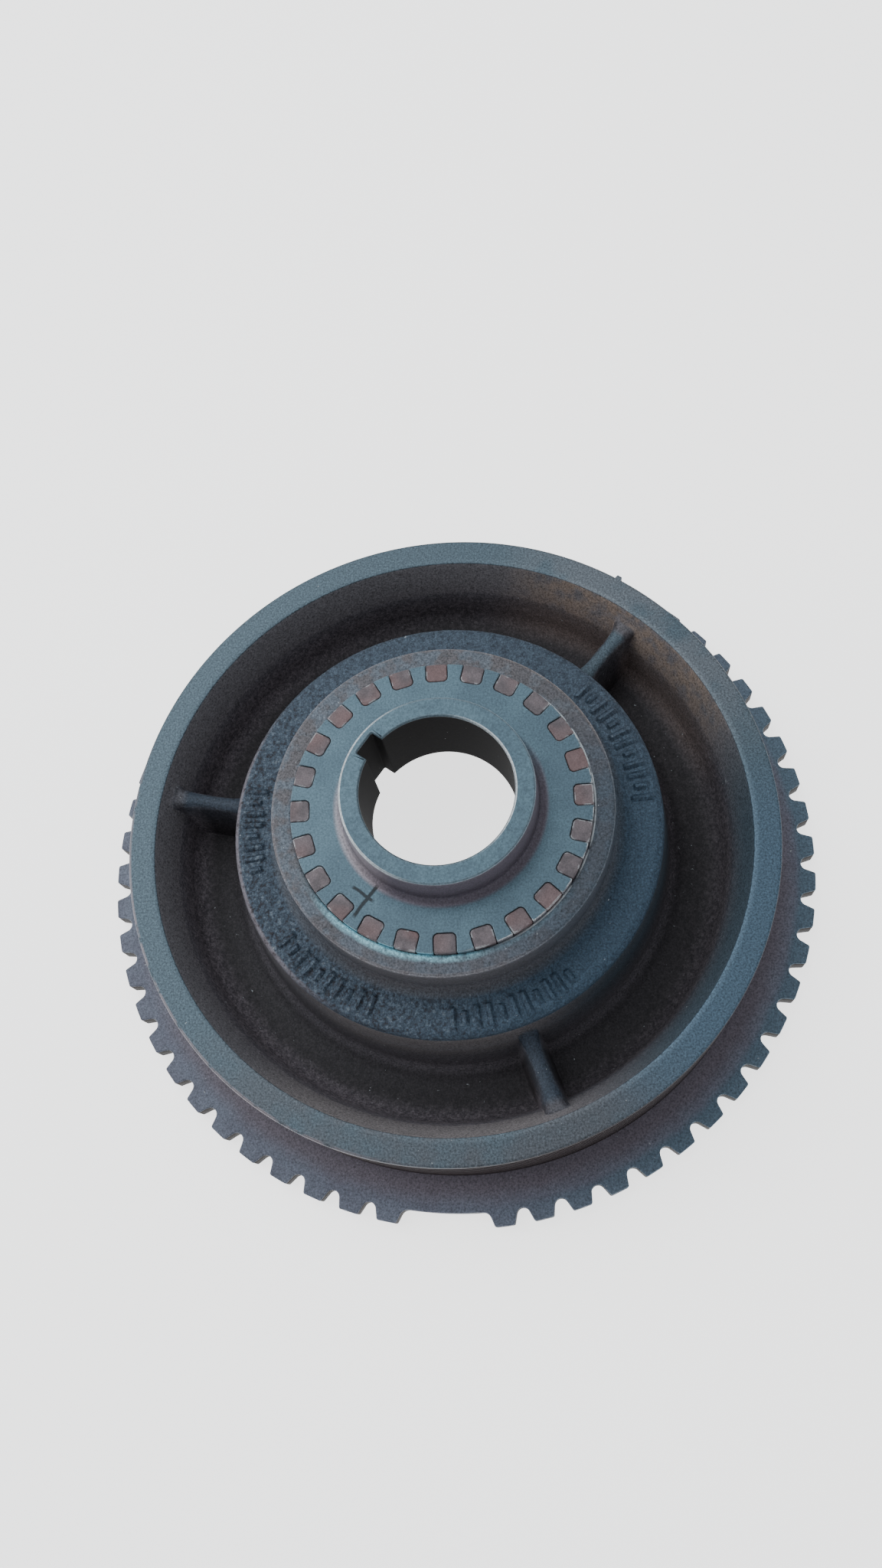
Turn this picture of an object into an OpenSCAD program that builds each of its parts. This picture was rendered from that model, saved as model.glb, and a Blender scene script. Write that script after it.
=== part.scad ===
// Crankshaft belt pulley: a ribbed iron casting that carries a multi-rib belt track, a keyed
// steel hub locked into it by a ring of small blocks, and a toothed speed-sensor ring behind it.
// Millimetres. +Z runs along the bore axis towards the nose of the hub, and the pulley
// stands on its rear face at z = 0.

/* [Hub] */
// Radius of the bore that takes the shaft
bore_r = 15; // [12:0.1:16]
// Width of the keyway
keyway_w = 5; // [3:0.1:6]
// How far the keyway is cut beyond the bore's wall
keyway_depth = 2.3; // [1:0.1:2.5]
// Direction of the keyway, in degrees
keyway_angle = 143; // [0:1:359]
// Radius of the hub's disc, which the collar holds
disc_r = 29.9; // [28:0.1:31]
// Thickness of the hub's disc
disc_h = 11.4; // [9:0.1:13]
// Outer radius of the nose at its top
nose_r = 18.95; // [18.5:0.05:20]
// Height of the nose above the disc
nose_h = 8.2; // [5:0.1:12]
// Radius of the fillet between the nose and the disc
nose_fillet = 1.6; // [0.5:0.1:2]

/* [Lock blocks] */
// Number of blocks around the hub's disc
block_count = 24; // [12:1:26]
// Width of one block across the radius
block_w = 4.3; // [3:0.1:4.6]
// Length of one block along the radius
block_l = 3.8; // [3:0.1:4.2]
// Radius of a block's two inner corners
block_corner = 0.9; // [0.4:0.1:1.2]
// Gap between a block and its slot, on each side
block_gap = 0.1; // [0.05:0.05:0.2]

/* [Collar and boss] */
// Outer radius of the collar around the hub
collar_r = 34.15; // [33:0.05:36]
// Height of the collar's top above the rear face
collar_z = 42.5; // [41:0.1:43]
// Height of the underside of the hub's disc, where the casting's ledge holds it
seat_z = 32.6; // [32:0.1:34]
// Inner radius of that ledge
ledge_r = 25; // [22:0.1:27]
// Outer radius of the boss at its shoulder
shoulder_r = 44.2; // [42:0.1:45]
// Height of the boss's flat shoulder above the rear face
shoulder_z = 32; // [30:0.1:33]
// Thickness of the boss's web under the shoulder
web_t = 6; // [4:0.1:8]
// Radius of the hollow behind the hub, at its mouth
cup_r = 39; // [37:0.1:40]

/* [Channel and ribs] */
// Height of the channel's floor above the rear face
floor_z = 10; // [8:0.1:12]
// Radius of the boss at the channel's floor
boss_foot_r = 46.2; // [45.5:0.1:48]
// Radius of the fillets along the channel's floor
floor_fillet = 4.6; // [1:0.1:4.7]
// Number of ribs across the channel
rib_count = 3; // [2:1:6]
// Direction of the first rib, in degrees
rib_angle = 48.5; // [0:0.5:119.5]
// Width of a rib along its top
rib_w = 3; // [2.5:0.1:5]
// Height of a rib's top above the rear face
rib_z = 24; // [18:0.1:24]

/* [Belt rim] */
// Outer radius of the rim, over the tips of its belt ribs
rim_r = 67.85; // [67:0.05:69]
// Height of the rim's front face above the rear face
rim_z = 28; // [27.5:0.1:30]
// Inner radius of the rim at its front face
rim_inner_r = 62.25; // [61.5:0.05:63]
// Inner radius of the rim under its bevelled lip
lip_r = 59.1; // [58.5:0.1:60]
// Depth of the bevelled lip
lip_h = 8.5; // [6:0.1:10]
// Number of belt grooves
groove_count = 6; // [3:1:6]
// Distance between belt grooves
groove_pitch = 3.56; // [3.4:0.02:3.6]
// Depth of a belt groove
groove_depth = 2.6; // [2:0.1:2.8]
// Direction of the timing nib on the rim's edge, in degrees
nib_angle = 54.6; // [0:0.1:359.9]

/* [Sensor ring] */
// Number of tooth pitches around the ring
tooth_pitches = 60; // [60:1:60]
// Number of teeth left out as the reference mark
teeth_missing = 2; // [1:1:3]
// Radius over the teeth's tips
tip_r = 78.3; // [77.5:0.1:79]
// Radius at the bottom of the gaps
root_r = 75.25; // [74.5:0.05:75.5]
// Radius of the round bottom of a gap
gap_r = 1.4; // [1:0.05:1.4]
// Angle between a gap's side and the radius, in degrees
flank_angle = 20; // [12:1:22]
// Direction of the first tooth after the reference mark, in degrees
first_tooth = -84.83; // [-180:0.01:180]
// Thickness of the ring
ring_t = 4.5; // [3:0.1:5]
// Height of the ring's underside above the rear face
ring_z = 0; // [0:0.1:1.5]
// Radius of the casting's spigot, which the ring is pressed on
spigot_r = 56; // [50:0.1:57]

/* [Hidden] */
ARC_STEPS = 6;
CHAMFER = 0.4;
ROUND = 128;
OVER = 1;
HOLD = 1.5;
GROOVE_SLOPE = 20;
GROOVE_FLOOR = 0.6;
NIB = [1.3, 1.3, 3];
NIB_PROUD = 0.75;
CAST_EDGE = 1.5;
COLLAR_FILLET = 3;
CUP_FILLET = 2.5;
CUP_DRAFT = 1.5;
RIB_DRAFT = 1.4;
CROSSING = 0.97;
REFERENCE_RISE = 0.1;
IRON = "#5b6770";
STEEL = "#627884";
SINTERED = "#8a7d7d";
RING_STEEL = "#565b67";

disc_z = seat_z + disc_h;
nose_z = disc_z + nose_h;
block_in_r = disc_r - block_l;
pitch_angle = 360 / tooth_pitches;
teeth = tooth_pitches - teeth_missing;
ring_top_z = ring_z + ring_t;

function two_digits(n) = str(n < 10 ? "0" : "", n);
function block_name(i) = str("lock_block_", two_digits(i));

// Points along an arc, from one angle to another, in the plane of a turned profile
function arc(centre, r, from, to) =
    [for (i = [0:ARC_STEPS]) let (a = from + (to - from) * i / ARC_STEPS) centre + r * [cos(a), sin(a)]];

// Outline of the belt grooves, from the rim's front edge down to its rear face
function groove_outline() =
    let (half_top = GROOVE_FLOOR / 2 + groove_depth * tan(GROOVE_SLOPE),
         middle = (rim_z + ring_top_z) / 2,
         top = middle + groove_pitch * (groove_count - 1) / 2)
    [for (i = [0:groove_count - 1]) let (z = top - i * groove_pitch) each [
        [rim_r, z + half_top],
        [rim_r - groove_depth, z + GROOVE_FLOOR / 2],
        [rim_r - groove_depth, z - GROOVE_FLOOR / 2],
        [rim_r, z - half_top]]];

// Half section of the casting, starting inside the collar and running outwards over the front
function casting_outline() = concat(
    [[disc_r, seat_z], [disc_r, collar_z - CHAMFER], [disc_r + CHAMFER, collar_z]],
    [[collar_r - CHAMFER, collar_z], [collar_r, collar_z - CHAMFER]],
    arc([collar_r + COLLAR_FILLET, shoulder_z + COLLAR_FILLET], COLLAR_FILLET, 180, 270),
    arc([shoulder_r - CAST_EDGE, shoulder_z - CAST_EDGE], CAST_EDGE, 90, 0),
    arc([boss_foot_r + floor_fillet, floor_z + floor_fillet], floor_fillet, 180, 270),
    arc([lip_r - 1 - floor_fillet, floor_z + floor_fillet], floor_fillet, 270, 360),
    [[lip_r, rim_z - lip_h], [rim_inner_r, rim_z], [rim_r - CHAMFER, rim_z], [rim_r, rim_z - CHAMFER]],
    groove_outline(),
    [[rim_r, ring_top_z], [spigot_r, ring_top_z], [spigot_r, CHAMFER], [spigot_r - CHAMFER, 0]],
    [[cup_r + CHAMFER, 0], [cup_r, CHAMFER]],
    arc([cup_r - CUP_DRAFT - CUP_FILLET, shoulder_z - web_t - CUP_FILLET], CUP_FILLET, 0, 90),
    [[ledge_r, shoulder_z - web_t], [ledge_r, seat_z]]);

// One rib across the channel, with a little draft on its sides
module rib() {
    half = rib_w / 2;
    foot = half + RIB_DRAFT;
    start = shoulder_r - HOLD;
    translate([start, 0, 0])
        rotate([90, 0, 90])
            linear_extrude(lip_r + HOLD - start)
                polygon([[-foot, floor_z - HOLD], [foot, floor_z - HOLD], [half, rib_z], [-half, rib_z]]);
}

module pulley_casting() {
    color(IRON) {
        rotate_extrude($fn = ROUND)
            polygon(casting_outline());
        for (i = [0:rib_count - 1])
            rotate(rib_angle + i * 360 / rib_count)
                rib();
        rotate(nib_angle)
            translate([rim_r + NIB_PROUD - NIB.x, -NIB.y / 2, rim_z - NIB.z])
                cube(NIB);
    }
}

// Outline of a lock block seen along the axis, or of its slot when grown, with its outer end left long
module block_outline(grow = 0) {
    half = block_w / 2 + grow;
    corner = block_corner + grow;
    inner = block_in_r - grow;
    translate([inner + corner, -half])
        square([disc_r + OVER - inner - corner, 2 * half]);
    translate([inner, corner - half])
        square([2 * corner, 2 * (half - corner)]);
    for (side = [-1, 1])
        translate([inner + corner, side * (half - corner)])
            circle(corner, $fn = 32);
}

// Half section of the hub, from the bore outwards
function hub_outline() = concat(
    [[bore_r + CHAMFER, seat_z], [disc_r, seat_z], [disc_r, disc_z - CHAMFER], [disc_r - CHAMFER, disc_z]],
    arc([nose_r + 0.4 + nose_fillet, disc_z + nose_fillet], nose_fillet, 270, 180),
    [[nose_r, nose_z - CHAMFER], [nose_r - CHAMFER, nose_z]],
    [[bore_r + CHAMFER, nose_z], [bore_r, nose_z - CHAMFER], [bore_r, seat_z + CHAMFER]]);

module hub() {
    color(STEEL)
        difference() {
            rotate_extrude($fn = ROUND)
                polygon(hub_outline());
            rotate(keyway_angle)
                translate([0, -keyway_w / 2, seat_z - OVER])
                    cube([bore_r + keyway_depth, keyway_w, nose_z - seat_z + 2 * OVER]);
            for (i = [1:block_count])
                rotate((i - 1) * 360 / block_count)
                    translate([0, 0, seat_z - OVER])
                        linear_extrude(disc_h + 2 * OVER)
                            block_outline(block_gap);
        }
}

// The block in slot number i
module lock_block(i) {
    color(SINTERED)
        rotate((i - 1) * 360 / block_count)
            translate([0, 0, seat_z])
                linear_extrude(disc_h)
                    intersection() {
                        block_outline();
                        circle(disc_r, $fn = ROUND);
                    }
}

// One gap between teeth: a round bottom and two straight sides that open outwards and cross the round
module gap_outline() {
    centre = root_r + gap_r;
    touch = [centre - CROSSING * gap_r * sin(flank_angle), CROSSING * gap_r * cos(flank_angle)];
    run = tip_r + OVER - touch.x;
    mouth = touch.y + run * tan(flank_angle);
    translate([centre, 0])
        circle(gap_r, $fn = 32);
    polygon([[touch.x, -touch.y], [touch.x + run, -mouth], [touch.x + run, mouth], [touch.x, touch.y]]);
}

// The long gap of the reference mark, from the last tooth round to the first one
module reference_outline() {
    half = (teeth_missing + 1) * pitch_angle / 2;
    for (side = [-1, 1])
        rotate(side * (half - pitch_angle / 2))
            gap_outline();
    difference() {
        rotate(pitch_angle / 2 - half)
            sector(2 * half - pitch_angle);
        circle(root_r + REFERENCE_RISE, $fn = ROUND);
    }
}

// A wedge of the plane between the x axis and a given angle, reaching past the teeth
module sector(angle) {
    reach = tip_r + 10;
    polygon([[0, 0], [reach, 0], reach * [cos(angle / 2), sin(angle / 2)], reach * [cos(angle), sin(angle)]]);
}

module sensor_ring() {
    color(RING_STEEL)
        translate([0, 0, ring_z])
            linear_extrude(ring_t)
                difference() {
                    circle(tip_r, $fn = ROUND);
                    circle(spigot_r, $fn = ROUND);
                    for (i = [0:teeth - 2])
                        rotate(first_tooth + (i + 0.5) * pitch_angle)
                            gap_outline();
                    rotate(first_tooth - (teeth_missing + 1) * pitch_angle / 2)
                        reference_outline();
                }
}

pulley_casting();
hub();
sensor_ring();
for (i = [1:block_count]) lock_block(i);
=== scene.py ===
"""The looks of the crankshaft belt pulley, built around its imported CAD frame.

Sizes are in millimetres until a mesh is made.
"""

import math

import bmesh
import bpy
import numpy as np
from mathutils import Euler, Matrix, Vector
from mathutils.geometry import tessellate_polygon


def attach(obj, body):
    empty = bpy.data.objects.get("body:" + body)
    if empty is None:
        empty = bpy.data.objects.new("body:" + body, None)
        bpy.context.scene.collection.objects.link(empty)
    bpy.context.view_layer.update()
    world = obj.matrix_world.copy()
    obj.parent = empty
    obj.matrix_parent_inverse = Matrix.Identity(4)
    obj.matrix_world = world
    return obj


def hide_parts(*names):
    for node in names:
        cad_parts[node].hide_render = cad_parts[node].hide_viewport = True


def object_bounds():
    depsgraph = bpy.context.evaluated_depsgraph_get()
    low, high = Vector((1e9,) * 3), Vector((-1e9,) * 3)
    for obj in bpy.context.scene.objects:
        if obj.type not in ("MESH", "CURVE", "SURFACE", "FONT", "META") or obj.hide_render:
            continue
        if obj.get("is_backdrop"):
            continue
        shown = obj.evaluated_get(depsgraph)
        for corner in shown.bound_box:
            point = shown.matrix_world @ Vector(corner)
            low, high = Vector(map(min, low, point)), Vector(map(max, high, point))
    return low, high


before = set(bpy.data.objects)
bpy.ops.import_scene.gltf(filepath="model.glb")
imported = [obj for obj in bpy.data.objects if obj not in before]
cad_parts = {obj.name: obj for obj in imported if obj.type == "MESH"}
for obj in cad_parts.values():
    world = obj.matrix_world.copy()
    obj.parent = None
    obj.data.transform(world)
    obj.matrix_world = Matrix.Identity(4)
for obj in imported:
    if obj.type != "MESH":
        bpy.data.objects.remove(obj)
bounds_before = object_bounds()

MM = 0.001

# The object's sizes, by the names that the CAD source gives them.
BORE_R = 15.0
KEYWAY_W = 5.0
KEYWAY_DEPTH = 2.3
KEYWAY_ANGLE = 143.0
DISC_R = 29.9
DISC_Z = 44.0
NOSE_R = 18.95
NOSE_Z = 52.2
NOSE_FILLET = 1.6
NOSE_TAPER = 0.4
BLOCKS = 24
BLOCK_W = 4.3
BLOCK_L = 3.8
BLOCK_CORNER = 0.9
BLOCK_GAP = 0.1
COLLAR_R = 34.15
COLLAR_Z = 42.5
SEAT_Z = 32.6
LEDGE_R = 25.0
SHOULDER_R = 44.2
SHOULDER_Z = 32.0
WEB_T = 6.0
CUP_R = 39.0
FLOOR_Z = 10.0
BOSS_FOOT_R = 46.2
FLOOR_FILLET = 4.6
RIBS = 3
RIB_ANGLE = 48.5
RIB_W = 3.0
RIB_Z = 24.0
RIM_R = 67.85
RIM_Z = 28.0
RIM_INNER_R = 62.25
LIP_R = 59.1
LIP_H = 8.5
GROOVES = 6
GROOVE_PITCH = 3.56
GROOVE_DEPTH = 2.6
GROOVE_SLOPE = 20.0
GROOVE_FLOOR = 0.6
NIB_ANGLE = 54.6
NIB_W = 1.3
NIB_R = 68.6
NIB_H = 3.0
PITCHES = 60
MISSING = 2
TIP_R = 78.3
ROOT_R = 75.25
GAP_R = 1.4
FLANK = 20.0
FIRST_TOOTH = -84.83
RING_Z = 0.0
RING_TOP_Z = 4.5
SPIGOT_R = 56.0
CUP_DRAFT = 1.5
CUP_FILLET = 2.5

# Rounds and small details, some of which the CAD leaves out.
SLOT_MOUTH = 0.18
TOOTH_CORNER = 0.5
LONG_GAP_CORNER = 1.8
COLLAR_EDGE = 0.6
COLLAR_FOOT = 3
SHOULDER_START = 37.2
SHOULDER_EDGE = 1.5
RIM_EDGE = 0.45
# How deep the blocks lie below the disc's face, how much that varies, and its step in radians.
BLOCK_SINK = 0.09
BLOCK_SINK_SPREAD = 0.08
BLOCK_SINK_STEP = 2.7
# Where the two scribed lines cross on the disc.
CROSS = (-14.5, -18.4)


# ---- plane geometry ----

def turned(points, degrees):
    """Points of the plane, turned about the origin."""
    a = math.radians(degrees)
    turn = np.array([[math.cos(a), math.sin(a)], [-math.sin(a), math.cos(a)]])
    return np.asarray(points) @ turn


def arc(centre, radius, start, end, steps):
    """Points along an arc, with the outward normal at each.

    A negative radius makes a hollow corner.
    """
    angles = np.radians(np.linspace(start, end, steps + 1))
    normals = np.stack([np.cos(angles), np.sin(angles)], axis=1)
    return np.asarray(centre) + radius * normals, normals


def joined(pieces):
    """Several runs of (points, normals) as one."""
    return np.concatenate([p for p, n in pieces]), np.concatenate([n for p, n in pieces])


def turned_run(run, degrees):
    """A run of (points, normals), turned about the origin."""
    return turned(run[0], degrees), turned(run[1], degrees)


def direction(point):
    """The direction of a point of the plane from the origin, in degrees."""
    return math.degrees(math.atan2(point[1], point[0]))


def on_line(point, along, radius):
    """Where a line that leaves point in a unit direction reaches that distance from the origin."""
    half = point[0] * along[0] + point[1] * along[1]
    rest = point[0] ** 2 + point[1] ** 2 - radius ** 2
    reach = -half + math.sqrt(half ** 2 - rest)
    return np.array([point[0] + reach * along[0], point[1] + reach * along[1]])


def circle_run(radius, start, end, step):
    """An arc of a circle around the axis, leaving out its two ends."""
    count = max(2, int(round(abs(end - start) / step)))
    angles = np.radians(np.linspace(start, end, count + 1)[1:-1])
    normals = np.stack([np.cos(angles), np.sin(angles)], axis=1)
    return radius * normals, normals


def slot_run(half, inner, corner, mouth):
    """One slot in the hub's disc, on the x axis, with a round mouth and hollow corners."""
    reach = math.sqrt((DISC_R - mouth) ** 2 - (half + mouth) ** 2)
    edge = direction((reach, half + mouth))
    return joined([
        arc((reach, -half - mouth), mouth, -edge, 90, 4),
        arc((inner + corner, corner - half), -corner, 90, 0, 6),
        arc((inner + corner, half - corner), -corner, 0, -90, 6),
        arc((reach, half + mouth), mouth, -90, edge, 4)]), edge


def disc_outline():
    """The outline of the hub's disc with its slots."""
    half = BLOCK_W / 2 + BLOCK_GAP
    inner = DISC_R - BLOCK_L - BLOCK_GAP
    run, edge = slot_run(half, inner, BLOCK_CORNER + BLOCK_GAP, SLOT_MOUTH)
    pitch = 360 / BLOCKS
    pieces = []
    for i in range(BLOCKS):
        pieces.append(turned_run(run, i * pitch))
        pieces.append(circle_run(DISC_R, i * pitch + edge, (i + 1) * pitch - edge, 0.75))
    return joined(pieces)


def bore_outline():
    """The outline of the bore with its keyway. Its normals point at the axis."""
    half = KEYWAY_W / 2
    far = BORE_R + KEYWAY_DEPTH
    round_in = 0.35
    round_out = 0.25
    reach = math.sqrt((BORE_R + round_out) ** 2 - (half + round_out) ** 2)
    edge = direction((reach, half + round_out))
    keyway = joined([
        arc((reach, -half - round_out), round_out, 180 - edge, 90, 4),
        arc((far - round_in, round_in - half), -round_in, 90, 180, 4),
        arc((far - round_in, half - round_in), -round_in, 180, 270, 4),
        arc((reach, half + round_out), round_out, 270, 180 + edge, 4)])
    points, normals = circle_run(BORE_R, edge, 360 - edge, 1.5)
    return joined([turned_run(keyway, KEYWAY_ANGLE), turned_run((points, -normals), KEYWAY_ANGLE)])


def block_outline():
    """The outline of a lock block on the x axis: its outer end lies on the disc's circle."""
    half = BLOCK_W / 2
    inner = DISC_R - BLOCK_L
    outer_round = 0.35
    reach = math.sqrt((DISC_R - outer_round) ** 2 - (half - outer_round) ** 2)
    edge = direction((reach, half - outer_round))
    return joined([
        arc((inner + BLOCK_CORNER, BLOCK_CORNER - half), BLOCK_CORNER, 180, 270, 7),
        arc((reach, outer_round - half), outer_round, 270, 360 - edge, 4),
        circle_run(DISC_R, -edge, edge, 0.8),
        arc((reach, half - outer_round), outer_round, edge, 90, 4),
        arc((inner + BLOCK_CORNER, half - BLOCK_CORNER), BLOCK_CORNER, 90, 180, 7)])


def teeth_outline(tip_round, long_round):
    """The sensor ring's outline: gaps with round bottoms, and a long one as the reference mark."""
    lean = math.radians(FLANK)
    along = (math.cos(lean), math.sin(lean))
    inward = (-math.sin(lean), math.cos(lean))
    centre = ROOT_R + GAP_R
    touch = (centre + GAP_R * inward[0], GAP_R * inward[1])
    tip_line = (touch[0] + tip_round * inward[0], touch[1] + tip_round * inward[1])
    corner = on_line(tip_line, along, TIP_R - tip_round)
    edge = direction(corner)
    lower_tip = arc((corner[0], -corner[1]), tip_round, -edge, 90 - FLANK, 6)
    upper_tip = arc(corner, tip_round, FLANK - 90, edge, 6)
    bottom = arc((centre, 0), -GAP_R, 90 - FLANK, FLANK - 90, 14)
    gap = joined([lower_tip, bottom, upper_tip])
    foot_line = (touch[0] - long_round * inward[0], touch[1] - long_round * inward[1])
    hollow = on_line(foot_line, along, ROOT_R + long_round)
    floor_edge = direction(hollow)
    upper_foot = arc(hollow, -long_round, floor_edge, FLANK - 90, 8)
    lower_foot = arc((hollow[0], -hollow[1]), -long_round, 90 - FLANK, -floor_edge, 8)
    pitch = 360 / PITCHES
    pieces = []
    last = FIRST_TOOTH - pitch / 2
    for i in range(PITCHES - MISSING - 1):
        middle = FIRST_TOOTH + (i + 0.5) * pitch
        pieces.append(circle_run(TIP_R, last + edge, middle - edge, 0.6))
        pieces.append(turned_run(gap, middle))
        last = middle
    start = FIRST_TOOTH + (PITCHES - MISSING - 0.5) * pitch
    end = FIRST_TOOTH - pitch / 2 + 360
    pieces.append(circle_run(TIP_R, last + edge, start - edge, 0.6))
    pieces.append(turned_run(joined([lower_tip, lower_foot]), start))
    pieces.append(circle_run(ROOT_R, start - floor_edge, end + floor_edge, 0.8))
    pieces.append(turned_run(joined([upper_foot, upper_tip]), end))
    return joined(pieces)


# ---- surfaces made of rings ----

SHARP_ANGLE = 34.0


def linked(name, data):
    """A new object in the scene."""
    obj = bpy.data.objects.new(name, data)
    bpy.context.scene.collection.objects.link(obj)
    return obj


class Surface:
    """Rings of points around the axis, the faces between them, and named values at the points."""

    def __init__(self, *names):
        self.points = []
        self.faces = []
        self.values = {name: [] for name in names}

    def ring(self, points, z, **values):
        """Adds a closed ring, anticlockwise seen from the nose. Returns its start and length."""
        start = sum(len(p) for p in self.points)
        points = np.asarray(points, dtype=float)
        height = np.broadcast_to(np.asarray(z, dtype=float), (len(points),))
        self.points.append(np.column_stack([points, height]))
        for name, kept in self.values.items():
            value = np.asarray(values.get(name, 0.0), dtype=float)
            kept.append(np.broadcast_to(value, (len(points),)))
        return start, len(points)

    def join(self, inner, outer):
        """Faces from one ring to the next. Rings of different lengths are joined by direction."""
        (a, count), (b, other) = inner, outer
        if count == other:
            here = np.arange(count)
            after = (here + 1) % count
            self.faces.extend(np.column_stack([a + here, b + here, b + after, a + after]).tolist())
            return
        points = np.concatenate(self.points)
        first = np.unwrap(np.arctan2(points[a:a + count, 1], points[a:a + count, 0]))
        second = np.unwrap(np.arctan2(points[b:b + other, 1], points[b:b + other, 0]))
        second += 2 * np.pi * round((first[0] - second[0]) / (2 * np.pi))
        turn = int(np.argmin(np.abs((second - first[0] + np.pi) % (2 * np.pi) - np.pi)))
        second = np.concatenate([second[turn:], second[:turn] + 2 * np.pi])
        second += 2 * np.pi * round((first[0] - second[0]) / (2 * np.pi))
        order = (np.arange(other) + turn) % other
        first = np.append(first, first[0] + 2 * np.pi)
        second = np.append(second, second[0] + 2 * np.pi)
        i = 0
        j = 0
        while i < count or j < other:
            here = a + i % count
            there = b + int(order[j % other])
            if j >= other or (i < count and first[i + 1] <= second[j + 1]):
                self.faces.append([here, there, a + (i + 1) % count])
                i += 1
            else:
                self.faces.append([here, there, b + int(order[(j + 1) % other])])
                j += 1

    def skin(self, rings):
        """Faces from each ring to the next."""
        for inner, outer in zip(rings, rings[1:]):
            self.join(inner, outer)

    def cap(self, up, *rings):
        """Flat faces inside the first ring and outside the others, looking up or down."""
        points = np.concatenate(self.points)
        loops = [[Vector(points[start + k]) for k in range(count)] for start, count in rings]
        index = [start + k for start, count in rings for k in range(count)]
        for tri in tessellate_polygon(loops):
            corners = [index[k] for k in tri]
            p, q, r = (points[k] for k in corners)
            looks_up = (q[0] - p[0]) * (r[1] - p[1]) - (q[1] - p[1]) * (r[0] - p[0]) > 0
            self.faces.append(corners if looks_up == up else corners[::-1])

    def make(self, name):
        """The mesh object, in metres, with its faces turned outwards and its sharp edges kept."""
        mesh = bpy.data.meshes.new(name)
        mesh.from_pydata((np.concatenate(self.points) * MM).tolist(), [], self.faces)
        for field, kept in self.values.items():
            layer = mesh.attributes.new(field, "FLOAT", "POINT")
            layer.data.foreach_set("value", np.concatenate(kept).astype(np.float32))
        facing = bmesh.new()
        facing.from_mesh(mesh)
        bmesh.ops.recalc_face_normals(facing, faces=facing.faces)
        facing.to_mesh(mesh)
        facing.free()
        mesh.polygons.foreach_set("use_smooth", [True] * len(mesh.polygons))
        mesh.set_sharp_from_angle(angle=math.radians(SHARP_ANGLE))
        mesh.validate()
        return linked(name, mesh)


def inset(outline, amount):
    """An outline moved inwards, into the solid, by an amount."""
    return outline[0] - amount * outline[1]


def bevel(radius, steps):
    """How far in and down each ring of a rounded edge lies, from the wall's end to the top's."""
    angles = np.linspace(0, np.pi / 2, steps + 1)
    return [(radius * (1 - math.cos(a)), radius * (1 - math.sin(a))) for a in angles]


def circle(radius, columns):
    """A closed circle around the axis."""
    angles = np.linspace(0, 2 * np.pi, columns, endpoint=False)
    return radius * np.column_stack([np.cos(angles), np.sin(angles)])


# ---- cast roughness ----

# Large primes that scramble a point's whole-number coordinates into a repeatable number.
AXIS_PRIMES = (73856093, 19349663, 83492791)
SEED_PRIME = 2654435761
FOLD_PRIMES = ((13, 1274126177), (16, 2246822519))
LAST_FOLD = 15
LOW_BITS = 0xFFFF


def lattice(cell, seed):
    """A repeatable number from -1 to 1 for each whole-number point of space."""
    mixed = np.uint64(seed * SEED_PRIME)
    for k, prime in enumerate(AXIS_PRIMES):
        mixed = mixed ^ cell[..., k].astype(np.int64).astype(np.uint64) * np.uint64(prime)
    for fold, prime in FOLD_PRIMES:
        mixed = (mixed ^ (mixed >> np.uint64(fold))) * np.uint64(prime)
    mixed ^= mixed >> np.uint64(LAST_FOLD)
    return (mixed & np.uint64(LOW_BITS)).astype(float) / (LOW_BITS / 2) - 1


def lumps(points, size, seed):
    """Smooth random lumps of about that size in millimetres, from -1 to 1."""
    place = points / size
    cell = np.floor(place)
    part = place - cell
    part = part * part * (3 - 2 * part)
    total = np.zeros(len(points))
    for corner in range(8):
        step = np.array([corner & 1, (corner >> 1) & 1, corner >> 2])
        weight = np.prod(np.where(step, part, 1 - part), axis=1)
        total += weight * lattice(cell + step, seed)
    return total


def cast_lumps(points):
    """The orange peel of a sand casting, from about -1 to 1."""
    coarse = lumps(points, 2.3, 11)
    middle = lumps(points, 1.1, 12)
    fine = lumps(points, 0.6, 13)
    return 0.3 * coarse + 0.5 * middle + 0.45 * fine


def smoothstep(low, high, x):
    """0 below low, 1 above high, and a smooth change between them."""
    t = np.clip((x - low) / (high - low), 0, 1)
    return t * t * (3 - 2 * t)


def blended_max(a, b, reach):
    """The larger of two heights, with a fillet where they are nearly equal."""
    near = np.clip(reach - np.abs(a - b), 0, None)
    return np.maximum(a, b) + near * near / (4 * reach)


# ---- the casting ----

# A rib's rounded edge, its side's slope below that, and stand-ins where there is no rib.
RIB_EDGE = 1.6
RIB_STEEP = 9
FAR_BELOW = -20
FAR_FROM_RIB = 99.0
# Columns of points across a rib: parts of its half width, then millimetres past its edge.
RIB_SIDE = [0, 0.12, 0.25, 0.4, 0.6, 0.8, 1.0, 1.2, 1.5, 1.9, 2.4, 3.0]
RIB_TOP = [0, 0.2, 0.35, 0.48, 0.6, 0.7, 0.8, 0.88, 0.95, 1]
RIB_SPREAD = 104
# Columns of points beside the nib, in millimetres from its middle.
NIB_COLUMNS = [-0.8, -0.72, -0.62, -0.5, 0.5, 0.62, 0.72, 0.8]
# The raised bars: height, middle radius, length, how much shorter some are, width and round.
MARK_H = 0.6
MARK_R = 40.3
MARK_L = 4.5
MARK_SHORTER = 1.8
MARK_W = 1.15
MARK_ROUND = 0.3
# Degrees from bar to bar, and where the runs of bars start and end.
MARK_PITCH = 3.5
MARK_RUNS = [(4, 45), (167, 194), (215, 249), (270, 307)]
# How many points a ring has, in each stretch of the casting.
BORE_COLUMNS = 360
COLLAR_COLUMNS = 480
FOOT_COLUMNS = 600
SHOULDER_COLUMNS = 760
RIM_COLUMNS = 300


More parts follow.
